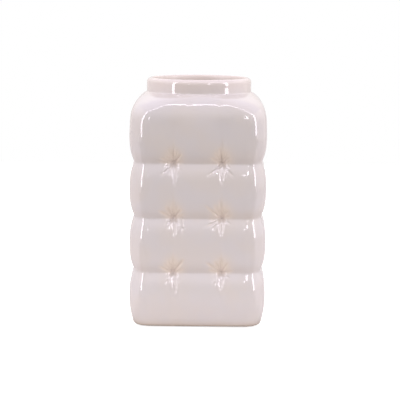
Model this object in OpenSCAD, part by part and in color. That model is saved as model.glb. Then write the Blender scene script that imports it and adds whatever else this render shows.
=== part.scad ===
// Tufted ceramic vase: a square body of four stacked pillows, a round collar, and four small pads.
// Origin at the middle of the standing plane, +Z up, and the photographed face looks along -Y.

/* [Body] */
// Width over the crown of a pillow, face to face
body_w = 172; // [150:1:200]
// Height of each pillow from crease to crease
pillow_h = 67.5; // [56:0.5:80]
// Height of the top pillow, from its crease to the foot of the collar
shoulder_h = 82.5; // [72:0.5:100]
// Radius of the upright corners at the crown of a pillow, seen from above
corner_r = 26; // [24:1:32]
// How much smaller that radius is in a crease and at the foot
corner_tuck = 7; // [0:0.5:8]
// How far the middle of a face stands out past its ends
face_crown = 2.5; // [0:0.5:4]
// Thickness of the fired wall
wall_t = 5; // [4:0.5:7]
// Thickness of the floor inside
floor_t = 6; // [5:0.5:10]

/* [Creases and tufts] */
// Depth of the creases between the pillows
crease_depth = 5.8; // [3:0.1:8]
// How far a crease arches up in the middle of a face
crease_arch = 0.4; // [0:0.1:4]
// Rounding at the bottom of a crease
crease_r = 2.5; // [1:0.1:4]
// How much deeper a tuft is than its crease
tuft_depth = 4; // [2:0.1:7]
// Sideways distance between the two tufts of a face
tuft_pitch = 59; // [50:1:66]
// Radius of the hollow that a tuft pulls in
tuft_reach = 16; // [12:0.5:20]
// Depth of the folds that radiate from a tuft
fold_depth = 1.3; // [0:0.1:2]
// Number of folds round each tuft
fold_count = 8; // [6:1:10]
// Depth of the valley that runs down from each tuft
valley_depth = 2.5; // [0:0.1:3]
// Half width of that valley
valley_reach = 3; // [2:0.1:5]
// How far down that valley runs
valley_length = 26; // [16:1:30]
// Depth of the upright groove that links the tufts of a column
groove_depth = 1.4; // [0:0.1:3]
// Half width of that groove
groove_reach = 9; // [5:0.5:12]

/* [Collar] */
// Outside radius of the round collar
collar_r = 66; // [54:0.5:72]
// Height of the collar above the shoulder
collar_h = 18.5; // [12:0.5:30]
// Wall of the collar, which the lip rounds over
collar_t = 7.5; // [5:0.5:9]
// Height that the rounding of the lip takes
lip_h = 6; // [3:0.5:8]
// How far the foot of the collar flares out into the shoulder
collar_flare = 2.5; // [1:0.5:5]

/* [Foot] */
// Rounding of the bottom edge
foot_r = 5; // [3:0.5:8]
// How far the bottom pillow draws in before that rounding
foot_draw = 5.5; // [2:0.5:7]
// Width of the unglazed land that the vase would stand on
land_w = 16; // [15:0.5:22]
// Depth of the recess inside the land
recess_depth = 3; // [1:0.5:4]

/* [Pads] */
// Diameter of each pad
pad_d = 12; // [8:0.5:13]
// Thickness of each pad
pad_t = 1.5; // [1:0.1:3]
// Rounding of the edge that meets the table
pad_edge_r = 0.6; // [0.2:0.1:0.8]

/* [Hidden] */
glaze_colour = [0.90, 0.86, 0.86];
pad_colour = [0.30, 0.29, 0.28];

crease_count = 3;
face_count = 4;
quarter = 90;
half_turn = 180;
full_turn = 360;

// Heights below are counted from the underside of the vessel, which stands on its pads
flat_half = body_w / 2 - face_crown;
half_pillow = pillow_h / 2;
top_crease_z = crease_count * pillow_h;
crown_z = top_crease_z + half_pillow;
collar_z = top_crease_z + shoulder_h;
rim_z = collar_z + collar_h;
// Powers of the curves that draw the creases, the shoulder and its corners
crease_bend = 3;
shoulder_bend = 4;
corner_bend = 9 / 2;

// Rows of the skin, as shares of the half pillow, counted from a crease
row_shares = [0.09, 0.21, 0.39, 0.65];
low_shares = [0.7, 0.45, 0.25];
shoulder_shares = [0.3, 0.5, 0.65, 0.77, 0.87, 0.94, 1];
inner_shoulder_shares = [1, 0.92, 0.75, 0.45];
// Columns of the skin, as shares of a tuft's own reach, on each side of the tuft
column_shares = [-0.7, -0.4, -0.18, 0, 0.18, 0.4, 0.7];
// Columns on a corner, as shares of its quarter turn
corner_shares = [0, 1/6, 1/3];
// Turns of the rounded lip and of the rounded foot, as shares
lip_shares = [0, 0.15, 0.32, 0.5, 0.68, 0.85, 1];
foot_shares = [0, 0.4, 0.75, 1];

// Plan directions of the skin's columns on half a face, from its middle to its corner
flat_end = flat_half - corner_r;
half_face = concat(
    [for (s = column_shares) atan2(tuft_pitch / 2 + s * tuft_reach, flat_half)],
    [for (s = corner_shares)
        atan2(flat_end + corner_r * sin(s * quarter), flat_end + corner_r * cos(s * quarter))]);
last = len(half_face) - 1;
one_face = concat(
    [-quarter / 2],
    [for (i = [last:-1:0]) -half_face[i]],
    [0],
    half_face);
columns = [for (f = [0:face_count - 1], a = one_face) [f * quarter, a]];

// Plan outline of a rounded square at one direction: [outward, sideways, direction of its normal]
function outline(half, corner, a) =
    let (
        mid = half - corner,
        side = abs(a),
        on_flat = half * tan(side) <= mid,
        dot = mid * (cos(side) + sin(side)),
        reach = on_flat ? half / cos(side) : dot + sqrt(max(0, dot * dot - 2 * mid * mid + corner * corner)),
        turn = on_flat ? 0 : atan2(reach * sin(side) - mid, reach * cos(side) - mid))
    [reach * cos(a), reach * sin(a), sign(a) * turn];

// How far a crease draws the skin in at a height above it or below it
function crease_in(gap, depth, span) =
    let (soft = norm([gap, crease_r]) - crease_r,
         part = min(1, soft / span))
    depth * pow(1 - part, crease_bend);

// Height of the crease that lies nearest
function nearest_crease(z) = pillow_h * min(crease_count, max(1, round(z / pillow_h)));

// What one tuft takes out of the skin: its hollow and its radiating folds
function tuft_in(side, up) =
    let (
        away = norm([side, up]),
        soft = norm([away, crease_r]) - crease_r,
        part = min(1, soft / tuft_reach),
        fold = cos(fold_count * atan2(up, side)) * sin(half_turn * min(1, away / tuft_reach)))
    tuft_depth * pow(1 - part, 2) + fold_depth * fold;

// What the valley below a tuft takes out of the skin
function valley_in(side, down) =
    let (start = min(1, down / valley_reach), end = max(0, 1 - down / valley_length))
    valley_depth * start * end * exp(-pow(side / valley_reach, 2));

// Everything that the tufting takes out of the skin, at a sideways place and a height
function tufting_in(side, z) =
    let (
        off = abs(side) - tuft_pitch / 2,
        up = z - nearest_crease(z),
        groove = groove_depth * min(1, z / half_pillow) * exp(-pow(off / groove_reach, 2)))
    tuft_in(off, up) + valley_in(off, max(0, -up)) + groove - face_crown * mid_face(side);

// One in the middle of a face, nothing at its ends
function mid_face(side) = 1 - pow(min(1, abs(side) / flat_half), 2);

// Half width of the body at a height, before the tufts
function body_half(z) =
    z > crown_z
    ? flat_half - (flat_half - collar_r - collar_flare) * pow((z - crown_z) / (collar_z - crown_z), shoulder_bend)
    : z < half_pillow
    ? flat_half - foot_draw * pow(1 - z / half_pillow, 2)
    : flat_half - crease_in(z - nearest_crease(z), crease_depth, half_pillow);

// Plan corner radius of the body at a height: tighter where the skin draws in, and round at the collar
function body_corner(z) =
    z > crown_z
    ? corner_r + (collar_r + collar_flare - corner_r) * pow((z - crown_z) / (collar_z - crown_z), corner_bend)
    : corner_r - corner_tuck * (flat_half - body_half(z)) / (z < half_pillow ? foot_draw : crease_depth);

// A ring of the skin: [height, half width, corner radius, share of the tufting, columns to step]
function body_ring(z) = [z, body_half(z), body_corner(z), z > crown_z
    ? 1 - pow((z - crown_z) / (collar_z - crown_z), 2) : min(1, z / pillow_h + 1 / 2), 1];
function round_ring(z, r, step) = [z, r, r, 0, step];

pillow_rows = [for (k = [1:crease_count])
    for (s = concat([-1], [for (i = [len(row_shares) - 1:-1:0]) -row_shares[i]], [0], row_shares))
        k * pillow_h + s * half_pillow];
shoulder_rows = concat([crown_z], [for (s = shoulder_shares) crown_z + s * (collar_z - crown_z)]);

// Underside: recess, land and rounded edge
foot_z = foot_r;
foot_half = body_half(foot_z);
foot_corner = corner_r - corner_tuck;
land_half = foot_half - foot_r;
recess_half = land_half - land_w;
underside = [
    [recess_depth, recess_half - recess_depth, foot_corner - recess_depth, 0, 2],
    [recess_depth / 2, recess_half - recess_depth / 4, foot_corner - recess_depth, 0, 2],
    [0, recess_half, foot_corner - recess_depth, 0, 2]];
foot_edge = [for (s = foot_shares)
    [foot_z - foot_r * cos(s * quarter),
     land_half + foot_r * sin(s * quarter),
     foot_corner - foot_r + foot_r * sin(s * quarter), 1 / 2, 1]];
bottom_rows = [for (s = low_shares) foot_z + (1 - s) * (half_pillow - foot_z)];

// Collar and its rounded lip
lip_r = collar_t / 2;
collar_rings = [
    round_ring(collar_z + collar_flare, collar_r + collar_flare / 4, 1),
    round_ring((collar_z + rim_z - lip_h) / 2, collar_r, 1)];
lip_rings = [for (s = lip_shares)
    round_ring(rim_z - lip_h + lip_h * sin(s * half_turn), collar_r - lip_r + lip_r * cos(s * half_turn), 1)];

// Inside: the wall follows the pillows softly and never thins at a tuft
inner_flat = flat_half - wall_t;
inner_corner = corner_r - wall_t;
inner_collar_r = collar_r - collar_t;
inner_in = crease_depth + tuft_depth * 0.7;
floor_z = recess_depth + floor_t;
floor_r = 2 * wall_t;
inner_crown = crown_z - wall_t;
inner_top = collar_z - wall_t;
inner_shoulder = [for (s = inner_shoulder_shares)
    [inner_crown + s * (inner_top - inner_crown),
     inner_flat - (inner_flat - inner_collar_r) * pow(s, shoulder_bend),
     inner_corner + (inner_collar_r - inner_corner) * pow(s, corner_bend), 0, 2]];
inner_wall = [for (k = [crease_count:-1:1], s = [1, 0.5, 0, -0.5])
    let (z = k * pillow_h + s * half_pillow, drawn = (1 + cos(half_turn * s)) / 2)
    [min(z, inner_crown), inner_flat - inner_in * drawn, inner_corner - corner_tuck * drawn, 0, 2]];
inner_floor = [
    [half_pillow, inner_flat, inner_corner, 0, 2],
    [floor_z + floor_r, inner_flat - foot_draw / 2, inner_corner - corner_tuck / 2, 0, 2],
    [floor_z + floor_r * (1 - sin(quarter / 2)), inner_flat - foot_draw - floor_r / 4,
     inner_corner - corner_tuck, 0, 2],
    [floor_z, inner_flat - foot_draw - floor_r, inner_corner - corner_tuck - wall_t, 0, 2]];

vase_rings = concat(
    underside,
    foot_edge,
    [for (z = bottom_rows) body_ring(z)],
    [for (z = pillow_rows) body_ring(z)],
    [for (z = shoulder_rows) body_ring(z)],
    collar_rings,
    lip_rings,
    [round_ring(collar_z, inner_collar_r, 2)],
    inner_shoulder,
    inner_wall,
    inner_floor);

// Points of one ring, anticlockwise seen from above
function ring_points(ring) = [for (i = [0:ring[4]:len(columns) - 1])
    let (
        face = columns[i][0],
        p = outline(ring[1], ring[2], columns[i][1]),
        inward = ring[3] * tufting_in(p[1], ring[0]),
        out = p[0] - inward * cos(p[2]),
        side = p[1] - inward * sin(p[2]),
        lift = crease_arch * ring[3] * min(1, ring[0] / half_pillow) * mid_face(p[1]))
    [out * cos(face) - side * sin(face), out * sin(face) + side * cos(face), ring[0] + lift]];

// Triangles of the band between two rings, one of which may have half the columns
function band(a, na, b, nb) =
    na == nb ? [for (i = [0:na - 1]) let (j = (i + 1) % na)
        each [[a + i, b + i, b + j], [a + i, b + j, a + j]]]
    : na > nb ? [for (i = [0:nb - 1]) let (j = (i + 1) % nb, m = 2 * i + 1, n = (2 * i + 2) % na)
        each [[a + 2 * i, b + i, a + m], [a + m, b + i, b + j], [a + m, b + j, a + n]]]
    : [for (i = [0:na - 1]) let (j = (i + 1) % na, m = 2 * i + 1, n = (2 * i + 2) % nb)
        each [[a + i, b + 2 * i, b + m], [a + i, b + m, a + j], [a + j, b + m, b + n]]];

// Closed solid lofted through the rings, from the middle of its underside to the middle of its floor
module ring_loft(rings) {
    counts = [for (r = rings) len(columns) / r[4]];
    starts = [for (i = 0, s = 1; i < len(rings); s = s + counts[i], i = i + 1) s];
    end = starts[len(rings) - 1] + counts[len(rings) - 1];
    points = concat(
        [[0, 0, rings[0][0]]],
        [for (r = rings) each ring_points(r)],
        [[0, 0, rings[len(rings) - 1][0]]]);
    under = [for (i = [0:counts[0] - 1]) [0, starts[0] + i, starts[0] + (i + 1) % counts[0]]];
    bands = [for (i = [0:len(rings) - 2]) each band(starts[i], counts[i], starts[i + 1], counts[i + 1])];
    n = counts[len(rings) - 1];
    over = [for (i = [0:n - 1]) [end, end - n + (i + 1) % n, end - n + i]];
    polyhedron(points, concat(under, bands, over));
}

module vase_body() {
    color(glaze_colour) translate([0, 0, pad_t]) ring_loft(vase_rings);
}

// A pad sits under the land at one corner, on the corner's diagonal
land_out = (land_half - (foot_corner - foot_r)) + (foot_corner - foot_r) * cos(quarter / 2);
land_in = (recess_half - (foot_corner - recess_depth)) + (foot_corner - recess_depth) * cos(quarter / 2);
pad_at = (land_out + land_in) / 2;

module foot_pad(x_side, y_side) {
    color(pad_colour)
        translate([x_side * pad_at, y_side * pad_at, 0])
            rotate_extrude($fn = 64) {
                translate([0, pad_edge_r]) square([pad_d / 2, pad_t - pad_edge_r]);
                square([pad_d / 2 - pad_edge_r, pad_t]);
                translate([pad_d / 2 - pad_edge_r, pad_edge_r]) circle(r = pad_edge_r, $fn = 32);
            }
}

module foot_pad_front_left() {
    foot_pad(-1, -1);
}

module foot_pad_front_right() {
    foot_pad(1, -1);
}

module foot_pad_back_left() {
    foot_pad(-1, 1);
}

module foot_pad_back_right() {
    foot_pad(1, 1);
}

vase_body();
foot_pad_front_left();
foot_pad_front_right();
foot_pad_back_left();
foot_pad_back_right();
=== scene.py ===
"""Dresses the tufted ceramic vase: lustre glaze on a pillowed body, bare clay under it, and rubber pads."""

import logging
import math
from dataclasses import dataclass, field
from enum import Enum

import bpy
from mathutils import Matrix, Vector


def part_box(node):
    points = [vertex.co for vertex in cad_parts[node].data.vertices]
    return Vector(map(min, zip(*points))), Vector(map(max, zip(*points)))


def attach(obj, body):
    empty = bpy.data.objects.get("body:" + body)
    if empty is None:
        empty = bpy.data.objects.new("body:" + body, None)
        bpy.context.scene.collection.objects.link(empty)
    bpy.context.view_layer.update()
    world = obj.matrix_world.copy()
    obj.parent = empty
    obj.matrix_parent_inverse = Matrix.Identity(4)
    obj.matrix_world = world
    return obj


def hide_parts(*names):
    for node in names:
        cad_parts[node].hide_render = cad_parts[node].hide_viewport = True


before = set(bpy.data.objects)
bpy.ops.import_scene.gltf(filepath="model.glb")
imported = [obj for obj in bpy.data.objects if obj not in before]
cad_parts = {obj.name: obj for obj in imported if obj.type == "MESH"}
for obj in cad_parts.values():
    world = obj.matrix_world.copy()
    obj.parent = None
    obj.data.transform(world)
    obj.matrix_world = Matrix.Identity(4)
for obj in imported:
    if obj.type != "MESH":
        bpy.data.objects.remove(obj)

MM = 0.001
IMAGE_PX = 400
SENSOR_MM = 36.0
WHITE = "ffffff"
LOG = logging.getLogger("vase")

# What the line of a fold carries for the tufting.
FOLD_NUMBERS = ("length", "depth", "width")
# What the skin carries for its tufting, and the kind of each.
CARRIED = {"outward": "FLOAT_VECTOR", "wavy": "FLOAT", "above_crease": "FLOAT", "bare": "BOOLEAN"}


class Face(Enum):
    """The four upright faces, anticlockwise, by the way that each one looks, in degrees from +X."""

    FRONT = -90
    RIGHT = 0
    BACK = 90
    LEFT = 180


def linear(hex_colour: str) -> tuple[float, float, float, float]:
    """Turns an sRGB hex colour into the linear colour that a shader takes.

    Args:
        hex_colour: The colour as six hex digits.

    Returns:
        Red, green, blue and an alpha of one.
    """
    parts = [int(hex_colour[i:i + 2], 16) / 255 for i in (0, 2, 4)]
    red, green, blue = [p / 12.92 if p <= 0.04045 else ((p + 0.055) / 1.055) ** 2.4 for p in parts]
    return (red, green, blue, 1.0)


def add_node(tree: bpy.types.NodeTree, kind: str, inputs: dict | None = None,
             **settings: object) -> bpy.types.Node:
    """Adds one node to a tree.

    Args:
        tree: The tree that gets the node.
        kind: The node's type.
        inputs: Input name or index to a value, or to the socket or the field that feeds it.
        settings: The node's own properties.

    Returns:
        The new node.
    """
    node = tree.nodes.new(kind)
    for name, value in settings.items():
        setattr(node, name, value)
    for key, value in (inputs or {}).items():
        if isinstance(value, Field):
            tree.links.new(value.socket, node.inputs[key])
        elif isinstance(value, bpy.types.NodeSocket):
            tree.links.new(value, node.inputs[key])
        else:
            node.inputs[key].default_value = value
    return node


def empty_tree(owner: bpy.types.Material | bpy.types.World) -> bpy.types.NodeTree:
    """Clears the nodes of a new material or world.

    Args:
        owner: The material or the world.

    Returns:
        Its tree, without a node.
    """
    owner.use_nodes = True
    owner.node_tree.nodes.clear()
    return owner.node_tree


def add_object(name: str, data: bpy.types.ID) -> bpy.types.Object:
    """Puts a mesh, a lamp or a camera into the scene.

    Args:
        name: The object's name.
        data: What it shows.

    Returns:
        The object.
    """
    thing = bpy.data.objects.new(name, data)
    bpy.context.scene.collection.objects.link(thing)
    return thing


@dataclass(frozen=True)
class Field:
    """A number that a node tree works out, written with ordinary arithmetic."""

    tree: bpy.types.NodeTree
    socket: bpy.types.NodeSocket

    def math(self, operation: str, *others: "Field | float") -> "Field":
        """Feeds this number and others to one Math node.

        Args:
            operation: The Math node's operation.
            others: The further operands.

        Returns:
            The node's result.
        """
        values = {i + 1: other for i, other in enumerate(others)}
        node = add_node(self.tree, "ShaderNodeMath", {0: self, **values}, operation=operation)
        return Field(self.tree, node.outputs[0])

    def __add__(self, other: "Field | float") -> "Field":
        """Sum."""
        return self.math("ADD", other)

    def __sub__(self, other: "Field | float") -> "Field":
        """Difference."""
        return self.math("SUBTRACT", other)

    def __mul__(self, other: "Field | float") -> "Field":
        """Product."""
        return self.math("MULTIPLY", other)

    def __truediv__(self, other: "Field | float") -> "Field":
        """Quotient."""
        return self.math("DIVIDE", other)

    def flipped(self) -> "Field":
        """One less this number."""
        return self * -1.0 + 1.0

    def bell(self, width: "Field | float") -> "Field":
        """A bell curve: one where this number is zero, near nothing past twice the width."""
        share = self / width
        return (share * share * -1.0).math("EXPONENT")

    def step(self, low: "Field | float", high: "Field | float") -> "Field":
        """A smooth step: nothing at low, one at high."""
        node = add_node(self.tree, "ShaderNodeMapRange", {"Value": self, "From Min": low, "From Max": high},
                        interpolation_type="SMOOTHSTEP")
        return Field(self.tree, node.outputs["Result"])


def layered(tree: bpy.types.NodeTree, ground: str, layers: list[tuple[Field, str]]) -> bpy.types.NodeSocket:
    """Lays colours over a ground colour, one after another.

    Args:
        tree: The tree that works out the colour.
        ground: The ground colour, as hex digits.
        layers: How much of each layer shows, and its colour as hex digits.

    Returns:
        The socket of the colour.
    """
    colour = linear(ground)
    for share, layer in layers:
        node = add_node(tree, "ShaderNodeMix", {"Factor": share, "A": colour, "B": linear(layer)},
                        data_type="RGBA")
        colour = node.outputs["Result"]
    return colour


@dataclass(frozen=True)
class Finish:
    """A finish, which dresses its pieces in one material."""

    name: str

    def inputs(self, tree: bpy.types.NodeTree) -> dict[str, object]:
        """Works out the inputs of the finish's surface, which each finish does in its own way."""
        raise NotImplementedError

    def material(self) -> bpy.types.Material:
        """Builds the material.

        Returns:
            The material, named for its finish.
        """
        material = bpy.data.materials.new(self.name)
        tree = empty_tree(material)
        skin = add_node(tree, "ShaderNodeBsdfPrincipled", self.inputs(tree))
        add_node(tree, "ShaderNodeOutputMaterial", {"Surface": skin.outputs["BSDF"]})
        return material


@dataclass(frozen=True)
class LustreGlaze(Finish):
    """Pearl lustre over a clear glaze on white earthenware, fired glossy.

    Its thin metal film gives the eye a bright, faintly pink and lilac mirror over a milky body. Where a fold
    pulls the glaze thin, the warm clay below shows through, and its darkest tone, in the folds and the
    tufts' pits, is painted shade. A warm painted shade lies above the creases and towards the foot, and a
    painted highlight makes the lip paler.
    """

    name: str = "pearl_lustre_glaze"
    milky: str = "e0d7d3"
    lilac: str = "ded7d7"
    lustre: str = "f6eefa"
    # A warm painted shade, laid above the creases and towards the foot.
    pooled: str = "c8b7a6"
    # A painted highlight, laid on the lip and less down the collar.
    pale: str = "f4e4de"
    thin: str = "e9dacd"
    # The clay tone, which also paints shade into the folds and the tufts' pits.
    bare_edge: str = "b99f8d"
    mottle_size: float = 38 * MM
    ripple_size: float = 9 * MM
    ripple_height: float = 0.02 * MM
    mottle_range: tuple[float, float] = (0.3, 0.7)
    thin_range: tuple[float, float] = (0.0, 0.5)
    bare_range: tuple[float, float] = (0.4, 1.0)
    roughness: float = 0.05
    dull_inside: float = 0.35
    index: float = 1.88

    def inputs(self, tree: bpy.types.NodeTree) -> dict[str, object]:
        """Works out the glaze's colours, its ripple and its gloss.

        Args:
            tree: The material's tree.

        Returns:
            The surface's inputs by name.
        """
        place = add_node(tree, "ShaderNodeTexCoord").outputs["Object"]
        mottle = add_node(tree, "ShaderNodeTexNoise", {
            "Vector": place, "Scale": 1 / self.mottle_size, "Detail": 2.0})
        ripple = add_node(tree, "ShaderNodeTexNoise", {
            "Vector": place, "Scale": 1 / self.ripple_size, "Detail": 1.0})
        bump = add_node(tree, "ShaderNodeBump", {
            "Height": ripple.outputs["Fac"], "Distance": self.ripple_height, "Strength": 1.0})
        pooled, pale, thin, inside = [
            Field(tree, add_node(tree, "ShaderNodeAttribute", attribute_name=name).outputs["Fac"])
            for name in ("pooled_glaze", "pale_glaze", "thin_glaze", "inside")]
        # Three layers paint light and shade: the warm shade above the creases and at the foot, the lip's
        # highlight, and the darkest clay tone in the folds and pits.
        colour = layered(tree, self.milky, [
            (Field(tree, mottle.outputs["Fac"]).step(*self.mottle_range), self.lilac),
            (pooled, self.pooled),
            (pale, self.pale),
            (thin.step(*self.thin_range), self.thin),
            (thin.step(*self.bare_range), self.bare_edge)])
        return {"Base Color": colour, "Normal": bump.outputs["Normal"], "IOR": self.index,
                "Roughness": inside * self.dull_inside + self.roughness,
                "Specular Tint": linear(self.lustre)}


@dataclass(frozen=True)
class BareClay(Finish):
    """Unglazed earthenware bisque on the land, as the kiln shelf leaves it.

    It gives the eye a matt, warm and slightly sandy ring. Its grains are drawn coarser than real ones of
    about 0.3 mm, so that they show.
    """

    name: str = "bare_earthenware"
    clay: str = "b8a796"
    speck: str = "948271"
    grain_size: float = 0.9 * MM
    grain_height: float = 0.05 * MM
    speck_range: tuple[float, float] = (0.55, 0.75)
    roughness: float = 0.9

    def inputs(self, tree: bpy.types.NodeTree) -> dict[str, object]:
        """Works out the bisque's specks and its sandy grain.

        Args:
            tree: The material's tree.

        Returns:
            The surface's inputs by name.
        """
        place = add_node(tree, "ShaderNodeTexCoord").outputs["Object"]
        grain = add_node(tree, "ShaderNodeTexNoise", {
            "Vector": place, "Scale": 1 / self.grain_size, "Detail": 3.0}).outputs["Fac"]
        bump = add_node(tree, "ShaderNodeBump", {
            "Height": grain, "Distance": self.grain_height, "Strength": 1.0})
        colour = layered(tree, self.clay, [(Field(tree, grain).step(*self.speck_range), self.speck)])
        return {"Base Color": colour, "Normal": bump.outputs["Normal"], "Roughness": self.roughness}


@dataclass(frozen=True)
class PadRubber(Finish):
    """Moulded self-adhesive rubber: dark, matt, with a faint bloom that lifts it in patches."""

    name: str = "pad_rubber"
    rubber: str = "4b4845"
    bloom: str = "66625d"
    bloom_size: float = 4 * MM
    bloom_range: tuple[float, float] = (0.45, 0.7)
    roughness: float = 0.75

    def inputs(self, tree: bpy.types.NodeTree) -> dict[str, object]:
        """Works out the rubber's patches of bloom.

        Args:
            tree: The material's tree.

        Returns:
            The surface's inputs by name.
        """
        place = add_node(tree, "ShaderNodeTexCoord").outputs["Object"]
        patch = add_node(tree, "ShaderNodeTexNoise", {
            "Vector": place, "Scale": 1 / self.bloom_size, "Detail": 2.0}).outputs["Fac"]
        colour = layered(tree, self.rubber, [(Field(tree, patch).step(*self.bloom_range), self.bloom)])
        return {"Base Color": colour, "Roughness": self.roughness}


@dataclass(frozen=True)
class TuftSizes:
    """The tufting's sizes, each of which is a named input of its tree.

    Depths, reaches and heights are in metres, and the rest are shares.
    """

    hollow_depth: float = 2.2 * MM
    hollow_reach: float = 15 * MM
    hollow_soft: float = 1.2 * MM
    pit_depth: float = 1.0 * MM
    pit_reach: float = 2.8 * MM
    column_depth: float = 1.4 * MM
    column_reach: float = 9 * MM
    dent_depth: float = 1.8 * MM
    dent_reach: float = 2.6 * MM
    fold_start: float = 3.2 * MM
    fold_rise: float = 0.4
    fold_spread: float = 0.05
    fold_end: float = 1.4
    fade_start: float = 0.7
    lip_share: float = 0.6
    valley_swell: float = 1.1
    valley_narrows: float = 0.45
    fan_share: float = 0.5
    fan_reach: float = 14 * MM
    fan_middle: float = 7 * MM
    fan_rise: float = 16 * MM
    fan_foot: float = -5 * MM
    fan_full: float = 3 * MM
    fan_below: float = 0.15
    # How strongly painted shade darkens the folds and the tufts' pits.
    pleat_share: float = 0.35
    pleat_depth: float = 1 * MM
    core_share: float = 0.06
    core_reach: float = 3.5 * MM
    drip_share: float = 0.22
    drip_reach: float = 1.4 * MM
    drip_foot: float = 20 * MM
    drip_full: float = 40 * MM
    inside_share: float = 0.2
    # Where the painted warm shade lies above the creases and towards the foot.
    seam_share: float = 0.18
    seam_middle: float = 3 * MM
    seam_reach: float = 7 * MM
    seam_soft: float = 1 * MM
    foot_reach: float = 6 * MM
    # Where the painted highlight lies, on the lip and down the collar.
    collar_share: float = 0.6
    collar_reach: float = 16 * MM
    wobble_height: float = 0.55 * MM
    wobble_size: float = 24 * MM
    outside_wave: float = 0.02
    seed: float = 3.0

    def named(self) -> dict[str, float]:
        """The sizes by the names of the tree's inputs."""
        return {name.replace("_", " ").capitalize(): value for name, value in vars(self).items()}


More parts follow.
